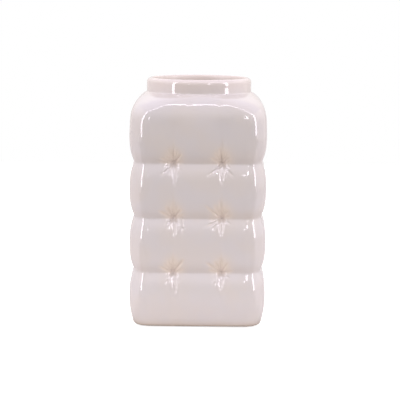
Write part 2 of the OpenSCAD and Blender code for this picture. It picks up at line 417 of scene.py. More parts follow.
@dataclass
class Tufting:
    """The Geometry Nodes tree that presses tufts, folds, valleys and grooves into a smooth skin.

    It takes the skin, a helper object for each kind of mark, the two materials and its sizes.
    """

    sizes: TuftSizes = field(default_factory=TuftSizes)

    def __post_init__(self) -> None:
        """Starts the tree with its inputs."""
        tree = bpy.data.node_groups.new("press_tufts", "GeometryNodeTree")
        kinds = {"Skin": "Geometry", "Tufts": "Object", "Folds": "Object", "Valleys": "Object",
                 "Columns": "Object", "Dents": "Object", "Glaze": "Material", "Clay": "Material"}
        kinds.update({name: "Float" for name in self.sizes.named()})
        for name, kind in kinds.items():
            tree.interface.new_socket(name, in_out="INPUT", socket_type="NodeSocket" + kind)
        tree.interface.new_socket("Skin", in_out="OUTPUT", socket_type="NodeSocketGeometry")
        self.tree = tree
        self.given = add_node(tree, "NodeGroupInput").outputs
        self.size = {name: Field(tree, self.given[name]) for name in self.sizes.named()}
        self.carried = {}
        for name, kind in CARRIED.items():
            node = add_node(tree, "GeometryNodeInputNamedAttribute", {"Name": name}, data_type=kind)
            self.carried[name] = node.outputs["Attribute"]
        self.outside = Field(tree, self.carried["wavy"]).step(0.0, self.size["Outside wave"])

    def wire(self) -> bpy.types.NodeTree:
        """Wires the tree.

        Returns:
            The tree, which gives the pressed skin with its glaze's numbers and its two materials.
        """
        tree, size = self.tree, self.size
        away, root = self.nearest("Tufts", "POINTS")
        across, _ = self.nearest("Columns", "EDGES")
        dented, _ = self.nearest("Dents", "POINTS")
        folds = self.pressed_folds(root)
        soft = (away * away + size["Hollow soft"] * size["Hollow soft"]).math("SQRT") - size["Hollow soft"]
        left = (soft / size["Hollow reach"]).flipped().math("MAXIMUM", 0.0)
        inward = size["Hollow depth"] * left.math("POWER", 3.0)
        inward = inward + size["Pit depth"] * away.bell(size["Pit reach"])
        inward = inward + size["Column depth"] * across.bell(size["Column reach"])
        inward = inward + folds + self.pressed_valleys(root)
        inward = inward + size["Dent depth"] * dented.bell(size["Dent reach"])
        normal = add_node(tree, "GeometryNodeInputNormal").outputs["Normal"]
        push, wave = [
            add_node(tree, "ShaderNodeVectorMath", {0: way, "Scale": depth * -1.0}, operation="SCALE")
            for way, depth in ((self.carried["outward"], inward), (normal, self.wobble()))]
        both = add_node(tree, "ShaderNodeVectorMath", {
            0: push.outputs["Vector"], 1: wave.outputs["Vector"]}, operation="ADD")
        skin = add_node(tree, "GeometryNodeSetPosition", {
            "Geometry": self.given["Skin"], "Offset": both.outputs["Vector"]})
        # These numbers also paint shade into the folds, pits and creases and at the foot, and a highlight on
        # the lip.
        numbers = {"thin_glaze": self.thin_glaze(away, across, folds, root),
                   "pooled_glaze": self.pooled_glaze(), "pale_glaze": self.pale_glaze(),
                   "inside": self.outside.flipped()}
        for name, value in numbers.items():
            skin = add_node(tree, "GeometryNodeStoreNamedAttribute", {
                "Geometry": skin.outputs["Geometry"], "Name": name, "Value": value},
                data_type="FLOAT", domain="POINT")
        bare = self.carried["bare"]
        glazed = add_node(tree, "FunctionNodeBooleanMath", {0: bare}, operation="NOT").outputs[0]
        skin = add_node(tree, "GeometryNodeRealizeInstances", {"Geometry": skin.outputs["Geometry"]})
        for part, finish in ((glazed, "Glaze"), (bare, "Clay")):
            skin = add_node(tree, "GeometryNodeSetMaterial", {
                "Geometry": skin.outputs["Geometry"], "Selection": part, "Material": self.given[finish]})
        add_node(tree, "NodeGroupOutput", {"Skin": skin.outputs["Geometry"]})
        return tree

    def pressed_folds(self, root: bpy.types.NodeSocket) -> Field:
        """Works out how deep the narrow folds press.

        Args:
            root: The place of the nearest tuft.

        Returns:
            The depth, which is less than nothing on the lips beside a fold.
        """
        size = self.size
        gap, run, length, depth, width = self.traced("Folds", root)
        share = gap / (width + run * size["Fold spread"])
        start = size["Fold start"]
        taper = run.step(start * size["Fold rise"], start)
        taper = taper * run.step(length * size["Fade start"], length * size["Fold end"]).flipped()
        return depth * taper * (share * share * size["Lip share"]).flipped() * share.bell(1.0)

    def pressed_valleys(self, root: bpy.types.NodeSocket) -> Field:
        """Works out how deep the valley below each tuft presses.

        Args:
            root: The place of the nearest tuft.

        Returns:
            The depth.
        """
        gap, run, length, depth, width = self.traced("Valleys", root)
        shrink = self.size["Valley swell"] - run / length * self.size["Valley narrows"]
        fade = run.step(length * self.size["Fade start"], length).flipped()
        return depth * shrink * fade * gap.bell(width * shrink)

    def thin_glaze(self, away: Field, across: Field, folds: Field, root: bpy.types.NodeSocket) -> Field:
        """Works out where the glaze has drawn thin, so that the warm clay shows, and the painted shade that
        darkens the folds and the tufts' pits further.

        Args:
            away: The distance from the nearest tuft.
            across: The distance from the nearest column of tufts.
            folds: How deep the folds press.
            root: The place of the nearest tuft.

        Returns:
            A share from nothing to one.
        """
        size = self.size
        height = self.height()
        rise = height - self.height(root)
        aside = (away * away - rise * rise).math("MAXIMUM", 0.0).math("SQRT")
        fan = aside.bell(size["Fan reach"]) * (rise - size["Fan middle"]).bell(size["Fan rise"])
        above = rise.step(size["Fan foot"], size["Fan full"])
        fan = fan * (above * size["Fan below"].flipped() + size["Fan below"])
        # Painted shade: deeper folds and the tuft's pit take more of the dark clay tone.
        pleat = (folds / size["Pleat depth"]).math("MAXIMUM", 0.0).math("MINIMUM", 1.0)
        core = away.bell(size["Core reach"])
        drip = across.bell(size["Drip reach"]) * height.step(size["Drip foot"], size["Drip full"])
        total = fan * size["Fan share"] + pleat * size["Pleat share"]
        total = total + core * size["Core share"] + drip * size["Drip share"]
        return total.math("MINIMUM", 1.0) * self.outside + self.outside.flipped() * size["Inside share"]

    def pooled_glaze(self) -> Field:
        """Works out the painted shade: a warm darkening just above each crease, where the pillow above hangs
        over it, and towards the foot, where it also stands for the foot's warmer glaze.

        Returns:
            A share from nothing to one.
        """
        size = self.size
        above = Field(self.tree, self.carried["above_crease"])
        seam = (above - size["Seam middle"]).bell(size["Seam reach"])
        seam = seam * above.step(size["Seam soft"] * -1.0, size["Seam soft"])
        return (seam * size["Seam share"] + self.height().bell(size["Foot reach"])).math("MINIMUM", 1.0)

    def pale_glaze(self) -> Field:
        """Works out the painted highlight: paler and pinker on the lip, and less down the collar.

        Returns:
            A share from nothing to one.
        """
        below_lip = self.height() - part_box("vase_body")[1][2]
        return below_lip.bell(self.size["Collar reach"]) * self.size["Collar share"]

    def wobble(self) -> Field:
        """Works out the faint unevenness that casting and drying leave.

        Returns:
            A depth.
        """
        noise = add_node(self.tree, "ShaderNodeTexNoise", {
            "W": self.size["Seed"], "Scale": self.size["Wobble size"].math("POWER", -1.0), "Detail": 1.0},
            noise_dimensions="4D")
        height = Field(self.tree, noise.outputs["Fac"]) * self.size["Wobble height"]
        return height * Field(self.tree, self.carried["wavy"])

    def height(self, place: bpy.types.NodeSocket | None = None) -> Field:
        """Reads off a height above the table.

        Args:
            place: The socket of a place, or nothing for the skin itself.

        Returns:
            The height.
        """
        place = place or add_node(self.tree, "GeometryNodeInputPosition").outputs["Position"]
        parts = add_node(self.tree, "ShaderNodeSeparateXYZ", {"Vector": place}).outputs
        return Field(self.tree, parts["Z"])

    def traced(self, carrier: str, root: bpy.types.NodeSocket) -> list[Field]:
        """Finds the nearest line of a helper object and reads what it carries.

        Args:
            carrier: The name of the object input.
            root: The place of the nearest tuft.

        Returns:
            How far off the line runs, how far from the tuft it is met, and its length, depth and width.
        """
        tree = self.tree
        gap, touch = self.nearest(carrier, "EDGES")
        run = add_node(tree, "ShaderNodeVectorMath", {0: touch, 1: root}, operation="DISTANCE")
        found = [gap, Field(tree, run.outputs["Value"])]
        shape = add_node(tree, "GeometryNodeObjectInfo", {"Object": self.given[carrier]}).outputs["Geometry"]
        near = add_node(tree, "GeometryNodeSampleNearest", {"Geometry": shape}, domain="POINT")
        for name in FOLD_NUMBERS:
            value = add_node(tree, "GeometryNodeInputNamedAttribute", {"Name": name}, data_type="FLOAT")
            sample = add_node(tree, "GeometryNodeSampleIndex", {
                "Geometry": shape, "Value": value.outputs["Attribute"], "Index": near.outputs["Index"]},
                data_type="FLOAT", domain="POINT")
            found.append(Field(tree, sample.outputs["Value"]))
        return found

    def nearest(self, carrier: str, element: str) -> tuple[Field, bpy.types.NodeSocket]:
        """Finds how far the skin lies from the nearest point or line of a helper object.

        Args:
            carrier: The name of the object input.
            element: POINTS or EDGES.

        Returns:
            The distance, and the socket of the place that lies nearest.
        """
        shape = add_node(self.tree, "GeometryNodeObjectInfo", {"Object": self.given[carrier]})
        near = add_node(self.tree, "GeometryNodeProximity", {0: shape.outputs["Geometry"]},
                        target_element=element)
        return Field(self.tree, near.outputs["Distance"]), near.outputs["Position"]


@dataclass(frozen=True)
class Fold:
    """One fold or valley that runs out from a tuft, or from a place level with it.

    It turns in degrees from the face's right. Its length, depth and width, and how far to the right of the
    tuft it starts, are in millimetres.
    """

    turn: float
    length: float
    depth: float
    width: float
    aside: float = 0.0


# The folds round the front's tufts: its left column, then its right, each from the top down.
FOLDS = (
    ((Fold(91, 19, 2.0, 1.1), Fold(103, 18, 1.3, 1.2), Fold(50, 13, 2.0, 1.5), Fold(72, 15, 1.0, 1.1),
      Fold(132, 12, 0.7, 1.5), Fold(155, 15, 0.9, 1.4), Fold(171, 17, 0.5, 1.4), Fold(14, 10, 0.5, 1.3),
      Fold(223, 17, 1.5, 1.1), Fold(200, 11, 0.6, 1.2), Fold(320, 11, 0.7, 1.2)),
     (Fold(90, 20, 1.4, 1.4), Fold(118, 15, 1.5, 1.6), Fold(50, 13, 2.0, 1.7), Fold(71, 14, 0.8, 1.2),
      Fold(150, 18, 1.0, 1.8), Fold(318, 11, 1.6, 1.4), Fold(222, 10, 1.5, 1.4), Fold(22, 12, 0.6, 1.4),
      Fold(273, 19, 1.5, 1.1, aside=11)),
     (Fold(54, 19, 1.9, 1.6), Fold(92, 19, 1.4, 1.5), Fold(112, 15, 1.1, 1.4), Fold(74, 14, 0.8, 1.2),
      Fold(132, 14, 0.8, 1.4), Fold(153, 17, 0.8, 1.6), Fold(236, 13, 1.1, 1.4), Fold(320, 10, 0.6, 1.3),
      Fold(18, 12, 0.6, 1.4))),
    ((Fold(97, 17, 2.3, 1.7), Fold(90, 24, 1.1, 1.3), Fold(50, 10, 1.4, 1.3), Fold(70, 14, 0.9, 1.2),
      Fold(124, 14, 1.0, 1.4), Fold(150, 14, 0.8, 1.5), Fold(221, 18, 1.6, 1.1), Fold(312, 17, 1.3, 1.2),
      Fold(337, 10, 0.8, 1.2), Fold(20, 10, 0.5, 1.3)),
     (Fold(140, 24, 1.4, 1.4), Fold(95, 21, 1.5, 1.5), Fold(117, 17, 0.9, 1.5), Fold(56, 12, 1.2, 1.5),
      Fold(75, 15, 0.8, 1.2), Fold(206, 18, 1.4, 1.1), Fold(228, 14, 1.1, 1.2), Fold(184, 14, 0.9, 1.4),
      Fold(330, 11, 1.0, 1.2), Fold(22, 12, 0.5, 1.4)),
     (Fold(143, 21, 1.4, 1.4), Fold(91, 18, 1.4, 1.5), Fold(60, 13, 1.2, 1.5), Fold(117, 15, 1.1, 1.4),
      Fold(164, 14, 0.7, 1.5), Fold(241, 14, 1.0, 1.3), Fold(330, 11, 0.8, 1.3), Fold(12, 13, 0.7, 1.4))))

# The valley below each of those tufts, in the same order.
VALLEYS = ((Fold(274, 28, 2.5, 3.1), Fold(275, 24, 2.4, 3.1), Fold(276, 31, 2.5, 3.1)),
           (Fold(269, 27, 2.5, 3.2), Fold(268, 23, 2.4, 3.0), Fold(269, 23, 2.5, 3.2)))


@dataclass(frozen=True)
class Ring:
    """One level ring of the body's loft.

    Its height is counted from the vessel's underside, half is half its width, and corner its corner radius.
    Tufted and wavy are shares of the tufting and of the wobble that reach it. It has every column of the
    skin, or every second or fourth, as step says.
    """

    z: float
    half: float
    corner: float
    tufted: float = 0.0
    wavy: float = 0.0
    step: int = 1
    bare: bool = False


@dataclass
class VaseBody:
    """The fired vessel: four pillows, a round collar, a hollow inside and a foot with a bare land.

    Lengths are in metres. A bend is a power, and a wave says how much of the wobble a place gets.
    soft_from, soft_over, lip_inside, fold_stray and the turns between rings are in degrees.
    """

    crease_count: int = 3
    pillow_height: float = 67.5 * MM
    shoulder_height: float = 82.5 * MM
    corner_radius: float = 26 * MM
    corner_tuck: float = 7 * MM
    corner_bend: float = 4.5
    shoulder_bend: float = 4
    face_crown: float = 2.5 * MM
    wall: float = 5 * MM
    inner_share: float = 0.7
    floor: float = 6 * MM
    crease_depth: float = 5.8 * MM
    crease_arch: float = 0.4 * MM
    crease_sharp: float = 1.1 * MM
    crease_soft: float = 2.5 * MM
    soft_from: float = 30.0
    soft_over: float = 10.0
    tuft_pitch: float = 59 * MM
    valley_drawn: float = 0.9
    fold_points: int = 22
    fold_stray: float = 5.0
    stray_steps: tuple[float, float] = (2.4, 1.7)
    column_low: float = 0.6
    column_high: float = 0.3
    column_points: int = 60
    collar_radius: float = 66 * MM
    collar_wall: float = 7.5 * MM
    collar_flare: float = 2.5 * MM
    flare_bend: float = 5
    flare_shares: tuple[float, ...] = (0.15, 0.35, 0.6, 1.0, 1.5)
    collar_lines: int = 4
    lip_height: float = 6 * MM
    lip_round: float = 5.4 * MM
    lip_inside: float = 110.0
    lip_turn: int = 12
    foot_radius: float = 5 * MM
    foot_draw: float = 5.5 * MM
    foot_tufted: float = 0.5
    foot_turn: int = 15
    land_width: float = 16 * MM
    land_shares: tuple[float, ...] = (0.05, 0.5, 0.9)
    recess: float = 3 * MM
    recess_shares: tuple[float, ...] = (0.3, 0.65, 0.95)
    recess_turn: int = 30
    floor_shares: tuple[float, ...] = (0.8, 0.5, 0.25)
    shoulder_wave: float = 1.4
    collar_wave: float = 0.6
    lip_wave: float = 0.3
    foot_wave: float = 0.1
    corner_lines: int = 9
    shoulder_top: float = 12 * MM
    shoulder_lines: int = 8
    inner_shoulder_lines: int = 12
    inner_pillow_lines: int = 6
    dents: tuple[tuple[float, float], ...] = ((-11 * MM, 277 * MM), (25.5 * MM, 277 * MM))
    press: Tufting = field(default_factory=Tufting)
    glaze: LustreGlaze = field(default_factory=LustreGlaze)
    clay: BareClay = field(default_factory=BareClay)

    def __post_init__(self) -> None:
        """Takes the overall sizes from the frame."""
        low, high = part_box("vase_body")
        self.base = low[2]
        self.rim = high[2] - low[2]
        self.flat_half = (high[0] - low[0]) / 2 - self.face_crown
        self.half_pillow = self.pillow_height / 2
        self.crease_heights = [self.pillow_height * (i + 1) for i in range(self.crease_count)]
        self.crown = self.crease_heights[-1] + self.half_pillow
        self.collar_foot = self.crease_heights[-1] + self.shoulder_height
        self.columns = self.plan_columns()

    @staticmethod
    def graded(start: float, end: float, spots: list[float]) -> list[float]:
        """Lays out places along a line, close together near some spots.

        Args:
            start: Where the line starts.
            end: Where it ends.
            spots: The spots.

        Returns:
            The places, with both ends.
        """
        # How far from a spot each zone reaches, and how far apart the places in it lie.
        zones = ((7 * MM, 0.7 * MM), (14 * MM, 1.05 * MM), (22 * MM, 1.8 * MM), (1.0, 3.4 * MM))
        slices = 600
        each = (end - start) / slices
        counts = [0.0]
        for i in range(slices):
            away = min(abs(start + (i + 0.5) * each - spot) for spot in spots)
            counts.append(counts[-1] + each / next(gap for reach, gap in zones if away < reach))
        total = math.ceil(counts[-1])
        places, i = [start], 0
        for k in range(1, total):
            goal = counts[-1] * k / total
            while counts[i + 1] < goal:
                i += 1
            places.append(start + each * (i + (goal - counts[i]) / (counts[i + 1] - counts[i])))
        return places + [end]

    def plan_columns(self) -> list[tuple[Face, float]]:
        """Lays out the skin's columns, close together at the tufts.

        Returns:
            A face and a direction from its middle, in radians, for each column, anticlockwise.
        """
        end = self.flat_half - self.corner_radius
        diagonal = math.radians(45)
        half = [math.atan2(x, self.flat_half) for x in self.graded(0.0, end, [self.tuft_pitch / 2])[1:]]
        for i in range(1, self.corner_lines):
            turn = diagonal * i / self.corner_lines
            half.append(math.atan2(end + self.corner_radius * math.sin(turn),
                                   end + self.corner_radius * math.cos(turn)))
        one_face = [-diagonal] + [-a for a in reversed(half)] + [0.0] + half
        return [(side, a) for side in Face for a in one_face]

    def outline(self, half: float, corner: float, angle: float) -> tuple[float, float, float]:
        """Finds a point on a rounded square seen from above.

        Args:
            half: Half the square's width.
            corner: Its corner radius.
            angle: The direction from its middle, in radians from the face's normal.

        Returns:
            How far out and how far sideways the point lies, and the turn of the surface there.
        """
        mid = half - corner
        side = abs(angle)
        if half * math.tan(side) <= mid:
            reach, turn = half / math.cos(side), 0.0
        else:
            dot = mid * (math.cos(side) + math.sin(side))
            reach = dot + math.sqrt(max(0.0, dot * dot - 2 * mid * mid + corner * corner))
            turn = math.atan2(reach * math.sin(side) - mid, reach * math.cos(side) - mid)
        return reach * math.cos(angle), reach * math.sin(angle), math.copysign(turn, angle)

    def nearest_crease(self, z: float) -> float:
        """Height of the crease that lies nearest."""
        return self.pillow_height * min(self.crease_count, max(1, round(z / self.pillow_height)))

    def shoulder_share(self, z: float) -> float:
        """How far up the shoulder a height lies: nothing at the top pillow's crown, one at the collar."""
        return max(0.0, (z - self.crown) / (self.collar_foot - self.crown))

    def body_half(self, z: float, soft: float) -> float:
        """Half width of the body at a height.

        Args:
            z: The height.
            soft: The rounding of the creases.

        Returns:
            The half width, before the crown of the face.
        """
        if z > self.crown:
            drawn = self.flat_half - self.collar_radius - self.collar_flare
            return self.flat_half - drawn * self.shoulder_share(z) ** self.shoulder_bend
        if z < self.half_pillow:
            return self.flat_half - self.foot_draw * (1 - z / self.half_pillow) ** 2
        gap = math.hypot(z - self.nearest_crease(z), soft) - soft
        return self.flat_half - self.crease_depth * (1 - min(1.0, gap / self.half_pillow)) ** 3

    def body_corner(self, z: float) -> float:
        """Corner radius of the body at a height: the shoulder turns from square to round.

        Args:
            z: The height.

        Returns:
            The radius.
        """
        share = self.shoulder_share(z)
        if share:
            gain = self.collar_radius + self.collar_flare - self.corner_radius
            return self.corner_radius + gain * share ** self.corner_bend
        pressed = self.flat_half - self.body_half(z, self.crease_soft)
        deepest = self.foot_draw if z < self.half_pillow else self.crease_depth
        return self.corner_radius - self.corner_tuck * pressed / deepest

    def body_ring(self, z: float) -> Ring:
        """Makes a ring of the tufted body.

        Args:
            z: The height.

        Returns:
            The ring.
        """
        share = self.shoulder_share(z)
        tufted = min(1.0, z / self.pillow_height + self.foot_tufted) - share * share
        wavy = min(1.0, z / self.half_pillow) + self.shoulder_wave * math.sin(math.pi * share)
        return Ring(z, self.body_half(z, self.crease_soft), self.body_corner(z), tufted, wavy)

    def rings(self) -> list[Ring]:
        """Lists the loft's rings, from the middle of the underside, over the lip, to the floor inside.

        Returns:
            The rings in order.
        """
        bend = self.collar_foot - self.shoulder_top
        heights = self.graded(self.foot_radius, bend, self.crease_heights)[1:]
        last = self.shoulder_lines
        heights += [self.collar_foot - self.shoulder_top * (1 - i / last) for i in range(1, last + 1)]
        body = [self.body_ring(z) for z in heights]
        return self.foot_rings() + body + self.collar_rings() + self.inner_rings()

    def foot_rings(self) -> list[Ring]:
        """Lists the rings of the underside: its recess, its bare land and the rounded foot.

        Returns:
            The rings, from the middle outwards.
        """
        land = self.body_half(self.foot_radius, self.crease_soft) - self.foot_radius
        edge = land - self.land_width
        foot_corner = self.body_corner(self.foot_radius)
        inset = foot_corner - self.recess
        flat = edge - self.recess
        rings = [Ring(self.recess, flat * s, inset * s, step=2) for s in self.recess_shares]
        for turn in range(0, 91, self.recess_turn):
            swing = math.radians(turn)
            half = edge - self.recess * (1 - math.sin(swing))
            rings.append(Ring(self.recess * math.cos(swing), half, inset, step=2))
        for share in self.land_shares:
            corner = inset - (self.foot_radius - self.recess) * share
            rings.append(Ring(0.0, edge + self.land_width * share, corner, step=2, bare=True))
        for turn in range(0, 91, self.foot_turn):
            swing = math.radians(turn)
            lean = math.sin(swing)
            z, half = self.foot_radius * (1 - math.cos(swing)), land + self.foot_radius * lean
            wavy = self.press.sizes.outside_wave + self.foot_wave * lean
            corner = foot_corner - self.foot_radius * (1 - lean)
            rings.append(Ring(z, half, corner, self.foot_tufted, wavy, bare=turn == 0))
        return rings

    def collar_rings(self) -> list[Ring]:
        """Lists the rings of the collar's outside and of its rounded lip.

        Returns:
            The rings, from the collar's foot, over the lip, to its inner edge.
        """
        radius = self.collar_radius
        rings = []
        for share in self.flare_shares:
            flare = self.collar_flare * math.exp(-share * self.flare_bend)
            z = self.collar_foot + self.collar_flare * share
            rings.append(self.round_ring(z, radius + flare, self.collar_wave))
        top, start = self.rim - self.lip_height, rings[-1].z
        for i in range(1, self.collar_lines):
            z = start + (top - start) * i / self.collar_lines
            rings.append(self.round_ring(z, radius, self.collar_wave))
        crest = radius - self.lip_round
        for turn in range(0, 181, self.lip_turn):
            swing = math.radians(turn)
            reach = self.lip_round if turn < 90 else self.collar_wall - self.lip_round
            wavy = self.lip_wave if turn < self.lip_inside else 0.0
            z = top + self.lip_height * math.sin(swing)
            rings.append(self.round_ring(z, crest + reach * math.cos(swing), wavy))
        return rings

    def inner_rings(self) -> list[Ring]:
        """Lists the rings of the inside, which follows the pillows softly.

        Returns:
            The rings, from the mouth down to the middle of the floor.
        """
        flat = self.flat_half - self.wall
        corner = self.corner_radius - self.wall
        mouth = self.collar_radius - self.collar_wall
        low = self.crown - self.wall
        high = self.collar_foot - self.wall
        drawn = self.crease_depth + self.press.sizes.hollow_depth * self.inner_share
        rings = [self.round_ring(self.rim - self.lip_height - MM, mouth),
                 self.round_ring(self.collar_foot, mouth, step=4)]
        for i in range(self.inner_shoulder_lines, 1, -1):
            share = i / self.inner_shoulder_lines
            half = flat - (flat - mouth) * share ** self.shoulder_bend
            rounded = corner + (mouth - corner) * share ** self.corner_bend
            rings.append(Ring(low + share * (high - low), half, rounded, step=4))
        last = self.inner_pillow_lines
        for crease in reversed(self.crease_heights):
            for i in range(last, -last, -1):
                z = crease + self.half_pillow * i / last
                half = flat - drawn * (1 + math.cos(math.pi * i / last)) / 2
                rings.append(Ring(min(z, low), half, corner, step=4))
        rings.append(Ring(self.half_pillow, flat, corner, step=4))
        floor = self.recess + self.floor
        foot = flat - self.foot_draw / 2
        round_in = 2 * self.wall
        for turn in range(0, 91, self.foot_turn):
            swing = math.radians(turn)
            half = foot - round_in * (1 - math.cos(swing))
            rings.append(Ring(floor + round_in * (1 - math.sin(swing)), half, corner, step=4))
        level = foot - round_in
        return rings + [Ring(floor, level * s, corner * s, step=4) for s in self.floor_shares]

    @staticmethod
    def round_ring(z: float, radius: float, wavy: float = 0.0, step: int = 2) -> Ring:
        """A plain round ring."""
        return Ring(z, radius, radius, wavy=wavy, step=step)

    def place(self, ring: Ring, side: Face, angle: float) -> tuple[Vector, Vector]:
        """Places one point of the skin.

        Args:
            ring: The ring that it lies on.
            side: The face of its column.
            angle: Its column's direction from the face's middle.

        Returns:
            The point, and the way that the skin faces in plan, scaled by how tufted it is.
        """
        half = ring.half
        if ring.tufted and self.half_pillow <= ring.z <= self.crown:
            corner_share = (abs(math.degrees(angle)) - self.soft_from) / self.soft_over
            softer = (self.crease_soft - self.crease_sharp) * min(1.0, max(0.0, corner_share))
            half = self.body_half(ring.z, self.crease_sharp + softer)
        out, along, turn = self.outline(half, ring.corner, angle)
        mid_face = 1 - min(1.0, abs(along) / self.flat_half) ** 2
        lift = self.crease_arch * ring.tufted * min(1.0, ring.z / self.half_pillow) * mid_face
        crown = self.face_crown * ring.tufted * mid_face
        face = math.radians(side.value)
        normal = Vector((math.cos(face + turn), math.sin(face + turn), 0))
        point = Vector((out * math.cos(face) - along * math.sin(face),
                        out * math.sin(face) + along * math.cos(face), self.base + ring.z + lift))
        return point + normal * crown, normal * ring.tufted

    def skin_mesh(self) -> bpy.types.Mesh:
        """Lofts the rings into one closed mesh, with the numbers that the tufting reads.

        Returns:
            The mesh, before its tufts.
        """
        rings = self.rings()
        points = [Vector((0, 0, self.base + rings[0].z))]
        ways = [Vector((0, 0, 0))]
        wavy, above = [0.0], [1.0]
        rows = []
        for ring in rings:
            rows.append([len(points) + i for i in range(len(self.columns) // ring.step)])
            for side, angle in self.columns[::ring.step]:
                point, way = self.place(ring, side, angle)
                points.append(point)
                ways.append(way)
                wavy.append(ring.wavy)
                above.append(ring.z - self.nearest_crease(ring.z) if ring.tufted else 1.0)
        points.append(Vector((0, 0, self.base + rings[-1].z)))
        ways.append(Vector((0, 0, 0)))
        wavy.append(0.0)
        above.append(1.0)
        first, last = rows[0], rows[-1]
        faces = [[0, first[(i + 1) % len(first)], first[i]] for i in range(len(first))]
        bare = [False] * len(faces)
        for a, b, lower in zip(rows, rows[1:], rings):
            band = self.band(a, b)
            faces += band
            bare += [lower.bare] * len(band)
        faces += [[len(points) - 1, last[i], last[(i + 1) % len(last)]] for i in range(len(last))]
        bare += [False] * len(last)
        mesh = bpy.data.meshes.new("vase_skin")
        mesh.from_pydata(points, [], faces)
        values = {"outward": [c for way in ways for c in way], "wavy": wavy, "above_crease": above,
                  "bare": bare}
        for name, kind in CARRIED.items():
            numbers = mesh.attributes.new(name, kind, "FACE" if name == "bare" else "POINT").data
            numbers.foreach_set("vector" if name == "outward" else "value", values[name])
        mesh.shade_smooth()
        return mesh

    @staticmethod
    def band(a: list[int], b: list[int]) -> list[list[int]]:
        """Joins two rings, of which one may have half the columns.

        Args:
            a: The first ring's points.
            b: The next ring's points.

        Returns:
            The faces, facing outwards.
        """
        faces = []
        n = min(len(a), len(b))
        for i in range(n):
            j = (i + 1) % n
            if len(a) == len(b):
                faces.append([a[i], a[j], b[j], b[i]])
            elif len(a) > len(b):
                m, k = 2 * i + 1, (2 * i + 2) % len(a)
                faces += [[a[2 * i], a[m], b[i]], [a[m], b[j], b[i]], [a[m], a[k], b[j]]]
            else:
                m, k = 2 * i + 1, (2 * i + 2) % len(b)
                faces += [[a[i], b[m], b[2 * i]], [a[i], a[j], b[m]], [a[j], b[k], b[m]]]
        return faces

    def skin_place(self, side: Face, along: float, z: float) -> Vector:
        """A point of the smooth skin at a sideways place and a height on a face."""
        ring = self.body_ring(z)
        return self.place(ring, side, math.atan2(along, ring.half))[0]

    def fold_line(self, side: Face, along: float, z: float, fold: Fold, stray: float,
                  reach: float) -> list[Vector]:
        """Draws one fold on the smooth skin.

        Args:
            side: The face.
            along: The tuft's sideways place.
            z: The tuft's height.
            fold: The fold.
            stray: How far it strays from its direction, in degrees.
            reach: How far its line is drawn, as a share of its length.

        Returns:
            The points of its line, a millimetre or two apart.
        """
        swing = math.radians(fold.turn + stray)
        start = along + fold.aside * MM
        runs = [reach * fold.length * MM * i / self.fold_points for i in range(self.fold_points + 1)]
        return [self.skin_place(side, start + r * math.cos(swing), z + r * math.sin(swing)) for r in runs]

    @staticmethod
    def line_object(name: str, lines: list[tuple[list[Vector], Fold | None]]) -> bpy.types.Object:
        """Makes a helper object of open lines or of single points.

        Args:
            name: Its name.
            lines: The points of each line, and the fold that it draws.

        Returns:
            The object, which the tufting reads and which is removed after it.
        """
        points, edges = [], []
        numbers: dict[str, list[float]] = {name: [] for name in FOLD_NUMBERS}
        for line, fold in lines:
            edges += [(len(points) + i, len(points) + i + 1) for i in range(len(line) - 1)]
            points += line
            for key, values in numbers.items():
                values += [(getattr(fold, key) if fold else 0.0) * MM] * len(line)
        mesh = bpy.data.meshes.new(name)
        mesh.from_pydata(points, edges, [])
        for key, values in numbers.items():
            mesh.attributes.new(key, "FLOAT", "POINT").data.foreach_set("value", values)
        return add_object(name, mesh)

    def helpers(self) -> dict[str, bpy.types.Object]:
        """Lays the tufts, their folds and valleys, the columns and the dents on the smooth skin.

        Each face after the front shifts the rows by one more and lets the folds stray, so that no two
        match.

        Returns:
            One helper object for each object input of the tufting.
        """
        low = self.half_pillow * self.column_low
        tall = self.crown + self.half_pillow * self.column_high - low
        steps = [low + tall * i / self.column_points for i in range(self.column_points + 1)]
        by_fold, by_row = self.stray_steps
        marks = {"Tufts": [], "Columns": [], "Folds": [], "Valleys": [], "Dents": []}
        for number, side in enumerate(Face):
            for along, z in self.dents:
                marks["Dents"].append(([self.skin_place(side, along * (-1) ** number, z)], None))
            for column, along in enumerate((-self.tuft_pitch / 2, self.tuft_pitch / 2)):
                marks["Columns"].append(([self.skin_place(side, along, z) for z in steps], None))
                for row, z in enumerate(reversed(self.crease_heights)):
                    like = (row + number) % self.crease_count
                    marks["Tufts"].append(([self.skin_place(side, along, z)], None))
                    for k, fold in enumerate(FOLDS[column][like]):
                        swing = math.sin(by_fold * k + by_row * row) if number else 0.0
                        line = self.fold_line(side, along, z, fold, self.fold_stray * swing,
                                              self.press.sizes.fold_end)
                        marks["Folds"].append((line, fold))
                    valley = VALLEYS[column][like]
                    line = self.fold_line(side, along, z, valley, 0.0, self.valley_drawn)
                    marks["Valleys"].append((line, valley))
        return {name: self.line_object(name.lower(), lines) for name, lines in marks.items()}

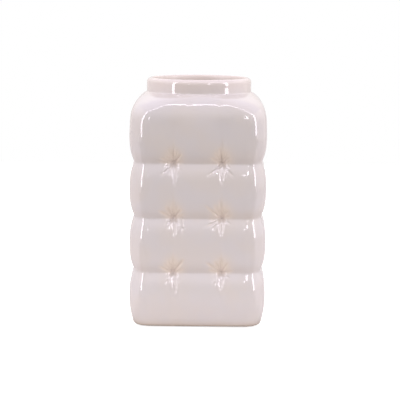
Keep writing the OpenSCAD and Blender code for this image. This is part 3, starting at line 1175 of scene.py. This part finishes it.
    def build(self) -> bpy.types.Object:
        """Makes the vessel and dresses it.

        Returns:
            The finished piece.
        """
        skin = self.skin_mesh()
        finishes = {"Glaze": self.glaze.material(), "Clay": self.clay.material()}
        for material in finishes.values():
            skin.materials.append(material)
        rough = add_object("vase_skin", skin)
        modifier = rough.modifiers.new("press_tufts", "NODES")
        modifier.node_group = self.press.wire()
        helpers = self.helpers()
        values = {**helpers, **self.press.sizes.named(), **finishes}
        for item in modifier.node_group.interface.items_tree:
            if item.in_out == "INPUT" and item.name in values:
                modifier[item.identifier] = values[item.name]
        graph = bpy.context.evaluated_depsgraph_get()
        mesh = bpy.data.meshes.new_from_object(rough.evaluated_get(graph), depsgraph=graph)
        for helper in (rough, *helpers.values()):
            bpy.data.objects.remove(helper)
        mesh.name = "glazed_vessel"
        vessel = add_object("glazed_vessel", mesh)
        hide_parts("vase_body")
        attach(vessel, "root")
        materials = ", ".join(material.name for material in mesh.materials)
        LOG.info("glazed_vessel: %d faces, %s", len(mesh.polygons), materials)
        return vessel


@dataclass
class FootPads:
    """The four bumper pads under the land, which keep their solids and get their rubber."""

    rows: tuple[str, ...] = ("front", "back")
    sides: tuple[str, ...] = ("left", "right")
    rubber: PadRubber = field(default_factory=PadRubber)

    def build(self) -> None:
        """Dresses the pads."""
        material = self.rubber.material()
        for name in [f"foot_pad_{row}_{side}" for row in self.rows for side in self.sides]:
            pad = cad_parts[name]
            pad.data.materials.clear()
            pad.data.materials.append(material)
            LOG.info("%s: %s", name, material.name)


@dataclass(frozen=True)
class Panel:
    """One soft panel of the light tent.

    Its middle and its width and height are in metres, and its level is a brightness, where one is white.
    """

    name: str
    middle: tuple[float, float, float]
    shines: tuple[float, float, float]
    size: tuple[float, float]
    level: float
    colour: str = WHITE
    mirrored: bool = True

    def build(self) -> None:
        """Hangs the panel as a lamp that the glaze mirrors, or as one that only lights."""
        data = bpy.data.lights.new(self.name, "AREA")
        data.shape = "RECTANGLE"
        data.size, data.size_y = self.size
        data.energy = self.level * math.pi * self.size[0] * self.size[1]
        data.color = linear(self.colour)[:3]
        lamp = add_object(self.name, data)
        lamp.location = self.middle
        lamp.rotation_euler = Vector(self.shines).to_track_quat("-Z", "Y").to_euler()
        lamp.visible_camera = False
        lamp.visible_glossy = self.mirrored
        lamp.visible_diffuse = not self.mirrored
        LOG.info("%s: level %.2f", self.name, self.level)


@dataclass
class LightTent:
    """A cloth tent with an open front, lit through its walls, with bright strips round the opening.

    The dim room before the opening is the grey doorway in the glaze, and the strips draw its edge.
    Lengths are in metres, levels are brightnesses, where one is white, and angles are in degrees.
    """

    half_width: float = 8.8
    height: float = 9.2
    front: float = -4.7
    back: float = 9.0
    aside: float = 1.25
    below: float = 0.13
    strip: float = 1.0
    right_strip: float = 1.5
    strip_low: float = -0.58
    strip_turn: float = 0.5
    strip_level: float = 6.0
    top_strip: float = 0.8
    top_tilt: float = 0.6
    cloth: str = "fbf6f5"
    sky: str = "f0e9fb"
    ceiling_level: float = 0.75
    left_level: float = 0.85
    right_level: float = 1.2
    back_level: float = 0.8
    softbox_height: float = 1.2
    softbox_ahead: float = 0.1
    softbox_size: float = 0.9
    softbox_level: float = 0.15
    lamp_level: float = 8.0
    room: str = "f7f4f1"
    overhead: str = "f0edf9"
    room_level: float = 1.66
    overhead_level: float = 0.78
    overhead_from: float = 0.2
    horizon_soft: float = 0.05
    table_level: float = 0.1
    low_mirror: float = 0.1
    high_mirror: float = 1.0
    high_angle: float = 40.0

    def walls(self) -> list[Panel]:
        """Lays out the tent's cloth walls, its ceiling first.

        Returns:
            The panels.
        """
        middle, depth = (self.front + self.back) / 2, self.back - self.front
        low = -self.below * self.height
        half_up, tall = (low + self.height) / 2, self.height - low
        wide = 2 * self.half_width
        walls = [Panel("tent_ceiling", (self.aside, middle, self.height), (0, 0, -1), (wide, depth),
                       self.ceiling_level, self.sky)]
        for name, way, level in (("tent_left", -1, self.left_level), ("tent_right", 1, self.right_level)):
            place = (self.aside + way * self.half_width, middle, half_up)
            walls.append(Panel(name, place, (-way, 0, 0), (depth, tall), level, self.cloth))
        walls.append(Panel("tent_back", (self.aside, self.back, half_up), (0, -1, 0), (wide, tall),
                           self.back_level, self.cloth))
        return walls

    def strips(self) -> list[Panel]:
        """Lays out the bright strips at the opening's left, right and top.

        Returns:
            The panels.
        """
        half_up, tall = (self.strip_low + self.height) / 2, self.height - self.strip_low
        inset = self.half_width - self.strip / 2
        strips = []
        for name, way, wide in (("strip_left", -1, 1.0), ("strip_right", 1, self.right_strip)):
            place = (self.aside + way * inset, self.front, half_up)
            size = (self.strip * wide, tall)
            strips.append(Panel(name, place, (-way, self.strip_turn, 0), size, self.strip_level))
        top = (self.aside, self.front, self.height - self.top_strip / 2)
        size = (2 * self.half_width, self.top_strip)
        return strips + [Panel("strip_top", top, (0, 1, -self.top_tilt), size, self.strip_level)]

    def lamps(self) -> list[Panel]:
        """Lays out the small lamps that draw dashes on the pillows, and the softbox that lights the inside.

        Returns:
            The panels.
        """
        # A lamp's place, the height at which it faces the vase's axis, its size and its share of the level.
        small = {"lamp_wide": ((1.0, -4.5, 1.6), 0.3, (0.5, 0.35), 0.5),
                 "lamp_right": ((1.9, -4.2, 2.15), 0.15, (0.8, 0.7), 1.0),
                 "lamp_left": ((-1.72, -4.27, 1.3), 0.3, (0.3, 0.3), 1.0)}
        lamps = [Panel(name, (x, y, z), (-x, -y, aim - z), size, self.lamp_level * share)
                 for name, ((x, y, z), aim, size, share) in small.items()]
        place, way = (0.0, -self.softbox_ahead, self.softbox_height), (0, self.softbox_ahead, -1)
        size = (self.softbox_size, self.softbox_size)
        return lamps + [Panel("softbox", place, way, size, self.softbox_level, self.cloth,
                              mirrored=False)]

    def build(self) -> None:
        """Hangs the panels and sets the room's dim light."""
        for panel in self.walls() + self.strips() + self.lamps():
            panel.build()
        self.build_room()

    def build_room(self) -> None:
        """Sets the world: white behind the vase for the camera, and a dim room for its reflections."""
        world = bpy.data.worlds.new("room")
        bpy.context.scene.world = world
        tree = empty_tree(world)
        path = add_node(tree, "ShaderNodeLightPath").outputs
        way = add_node(tree, "ShaderNodeTexCoord").outputs["Generated"]
        up = Field(tree, add_node(tree, "ShaderNodeSeparateXYZ", {"Vector": way}).outputs["Z"])
        rise = up.step(0.0, math.sin(math.radians(self.high_angle)))
        seen = rise * (self.high_mirror - self.low_mirror) + self.low_mirror
        high = up.step(self.overhead_from, 1.0)
        above = up.step(-self.horizon_soft, 0.0) * (1 - self.table_level) + self.table_level
        shone = (high * (self.overhead_level - self.room_level) + self.room_level) * above
        light = shone + Field(tree, path["Is Glossy Ray"]) * (seen - shone)
        colour = layered(tree, self.room, [(high, self.overhead)])
        room = add_node(tree, "ShaderNodeBackground", {"Color": colour, "Strength": light})
        white = add_node(tree, "ShaderNodeBackground", {"Color": linear(WHITE), "Strength": 1.0})
        plain = Field(tree, path["Is Camera Ray"]).math("MAXIMUM", Field(tree, path["Is Transmission Ray"]))
        both = add_node(tree, "ShaderNodeMixShader", {0: plain, 1: room.outputs[0], 2: white.outputs[0]})
        add_node(tree, "ShaderNodeOutputWorld", {"Surface": both.outputs[0]})


@dataclass
class PaperFloor:
    """The white paper on which the vase stands, laid in the tent and on the dark table before it.

    The glaze mirrors it grey close before the vase, and past its front edge mirrors the room instead.
    Lengths are in metres, and glow is a brightness, where one is white.
    """

    half: float = 1.6
    paper: str = "ebe8e6"
    table: str = "6a6664"
    mirrored: str = "8f8a87"
    edge: float = -0.35
    edge_soft: float = 0.01
    ahead_spread: float = 0.5
    ahead_from: float = -0.02
    ahead_full: float = 0.03
    glow: float = 0.76
    near: float = 0.16
    far: float = 0.40

    def build(self) -> None:
        """Lays the floor, which keeps the vase's shadow and runs out to white for the camera."""
        half = self.half
        mesh = bpy.data.meshes.new("paper")
        mesh.from_pydata([(-half, -half, 0), (half, -half, 0), (half, half, 0), (-half, half, 0)], [],
                         [(0, 1, 2, 3)])
        mesh.materials.append(self.material())
        add_object("paper", mesh)

    def material(self) -> bpy.types.Material:
        """Builds the matt paper, which gives the eye a plain white ground with a soft shadow.

        Returns:
            The material.
        """
        material = bpy.data.materials.new("matt_white_paper")
        tree = empty_tree(material)
        place = add_node(tree, "ShaderNodeTexCoord").outputs["Object"]
        part = add_node(tree, "ShaderNodeSeparateXYZ", {"Vector": place}).outputs
        length = add_node(tree, "ShaderNodeVectorMath", {0: place}, operation="LENGTH")
        away = Field(tree, length.outputs["Value"])
        path = add_node(tree, "ShaderNodeLightPath").outputs
        seen, glossy = Field(tree, path["Is Camera Ray"]), Field(tree, path["Is Glossy Ray"])
        along, back = Field(tree, part["X"]).math("ABSOLUTE"), Field(tree, part["Y"])
        inside = back.step(self.edge - self.edge_soft, self.edge)
        ahead = (back * -1.0 - along * self.ahead_spread).step(self.ahead_from, self.ahead_full)
        colour = layered(tree, self.table, [
            (inside.math("MAXIMUM", seen), self.paper), (glossy * ahead, self.mirrored)])
        lit = add_node(tree, "ShaderNodeBsdfDiffuse", {"Color": colour})
        strength = seen * (away.step(self.near, self.far) * (1 - self.glow) + self.glow)
        glow = add_node(tree, "ShaderNodeEmission", {"Strength": strength})
        both = add_node(tree, "ShaderNodeAddShader", {0: lit.outputs["BSDF"], 1: glow.outputs["Emission"]})
        clear = add_node(tree, "ShaderNodeBsdfTransparent")
        ends = add_node(tree, "ShaderNodeMixShader", {
            0: inside.flipped() * glossy, 1: both.outputs["Shader"], 2: clear.outputs["BSDF"]})
        add_node(tree, "ShaderNodeOutputMaterial", {"Surface": ends.outputs["Shader"]})
        return material


@dataclass(frozen=True)
class Viewpoint:
    """Where the photograph was taken from, fitted to the vase's outline in the 400 pixel frame."""

    focal_px: float = 1300.0
    distance: float = 1.664
    elevation: float = 8.5
    azimuth: float = 0.53
    roll: float = 0.445
    aim_along: float = 2.25 * MM
    aim_height: float = 148.3 * MM

    def build(self) -> None:
        """Places the camera."""
        rise, turn, roll = (math.radians(a) for a in (self.elevation, self.azimuth, self.roll))
        back = Vector((math.sin(turn) * math.cos(rise), -math.cos(turn) * math.cos(rise), math.sin(rise)))
        right = Vector((math.cos(turn), math.sin(turn), 0))
        up = back.cross(right)
        aim = right * self.aim_along + Vector((0, 0, self.aim_height))
        level = right * math.cos(roll) + up * math.sin(roll)
        upright = up * math.cos(roll) - right * math.sin(roll)
        data = bpy.data.cameras.new("viewpoint")
        data.sensor_width = SENSOR_MM
        data.lens = self.focal_px * SENSOR_MM / IMAGE_PX
        data.clip_end = 50
        camera = add_object("viewpoint", data)
        turned = Matrix((level, upright, back)).transposed().to_4x4()
        camera.matrix_world = Matrix.Translation(aim + back * self.distance) @ turned
        bpy.context.scene.camera = camera


def main() -> None:
    """Builds the viewpoint, the vase and the studio."""
    logging.basicConfig(level=logging.INFO, format="%(message)s")
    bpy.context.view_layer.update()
    bpy.context.scene.view_settings.view_transform = "Standard"
    Viewpoint().build()
    VaseBody().build()
    FootPads().build()
    PaperFloor().build()
    LightTent().build()


if __name__ == "__main__":
    main()
